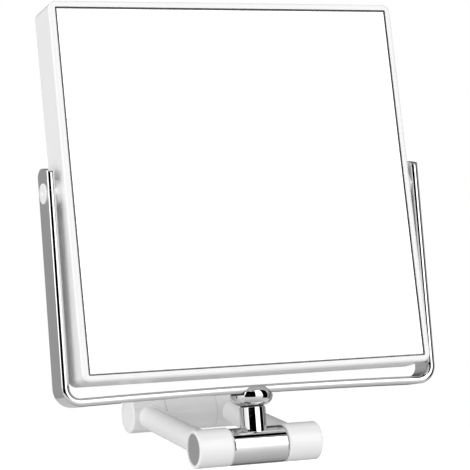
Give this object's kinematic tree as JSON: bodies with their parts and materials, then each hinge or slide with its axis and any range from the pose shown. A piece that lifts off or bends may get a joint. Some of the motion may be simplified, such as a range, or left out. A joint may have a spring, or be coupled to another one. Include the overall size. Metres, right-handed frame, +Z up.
{
  "type": "folding magnifying mirror",
  "caption": "Square wall mirror, plain on one face and magnifying on the other, that tilts in a chrome fork and swivels on a short post at the end of a folding arm.",
  "frame": {"origin": "middle of the wall plate's back face, level with the rear hinge axis", "axes": "+Z up, +Y into the wall, -Y towards the user, +X to the user's right"},
  "size_m": [0.217, 0.1242, 0.2424],
  "materials": {
    "white_plastic": "smooth white",
    "chrome": "bright plated",
    "silvered_glass": "silvered",
    "steel": "zinc plated",
    "nylon": "natural nylon",
    "seal": "black",
    "foam": "foam",
    "board": "moulded"
  },
  "bodies": {
    "bracket": {"wall_plate": "steel", "wall_bracket": "white_plastic", "bracket_grub_screw": "steel", "rear_bush_left": "nylon", "rear_bush_right": "nylon"},
    "arm": {"rear_barrel_left": "white_plastic", "rear_barrel_right": "white_plastic", "rear_cap_left": "white_plastic", "rear_cap_right": "white_plastic", "arm_tube_left": "white_plastic", "arm_tube_right": "white_plastic", "front_barrel_left": "white_plastic", "front_barrel_right": "white_plastic", "front_cap_left": "chrome", "front_cap_right": "chrome", "rear_axle": "steel", "front_axle": "steel", "rear_friction_washers": "nylon", "front_friction_washers": "nylon"},
    "head": {"pivot_sleeve": "chrome", "sleeve_bush_left": "nylon", "sleeve_bush_right": "nylon", "post": "chrome", "swivel_grub_screw": "steel"},
    "yoke": {"swivel_head": "chrome", "slot_pad": "seal", "swivel_washer": "seal", "yoke": "chrome", "yoke_screws": "steel"},
    "mirror": {"mirror_housing": "white_plastic", "rear_bezel": "white_plastic", "front_glass": "silvered_glass", "magnifying_glass": "silvered_glass", "front_seal": "seal", "rear_seal": "seal", "front_pad": "foam", "rear_pad": "foam", "core_panel": "board", "pivot_boss_left": "white_plastic", "pivot_boss_right": "white_plastic", "pivot_screws": "steel", "pivot_washers": "steel"}
  },
  "joints": [
    {"name": "arm_fold", "type": "hinge", "parent": "bracket", "child": "arm", "pos_m": [0, -0.0175, 0], "axis": [-1, 0, 0], "range_deg": [-90, 90]},
    {"name": "head_fold", "type": "hinge", "parent": "arm", "child": "head", "pos_m": [0, -0.114, 0], "axis": [1, 0, 0], "range_deg": [-13.9, 103.1]},
    {"name": "yoke_swivel", "type": "hinge", "parent": "head", "child": "yoke", "pos_m": [0, -0.114, 0], "axis": [0, 0.2267, 0.974], "range_deg": [-40, 40]},
    {"name": "mirror_tilt", "type": "hinge", "parent": "yoke", "child": "mirror", "pos_m": [0, -0.08299, 0.13324], "axis": [1, 0, 0], "continuous": true}
  ]
}
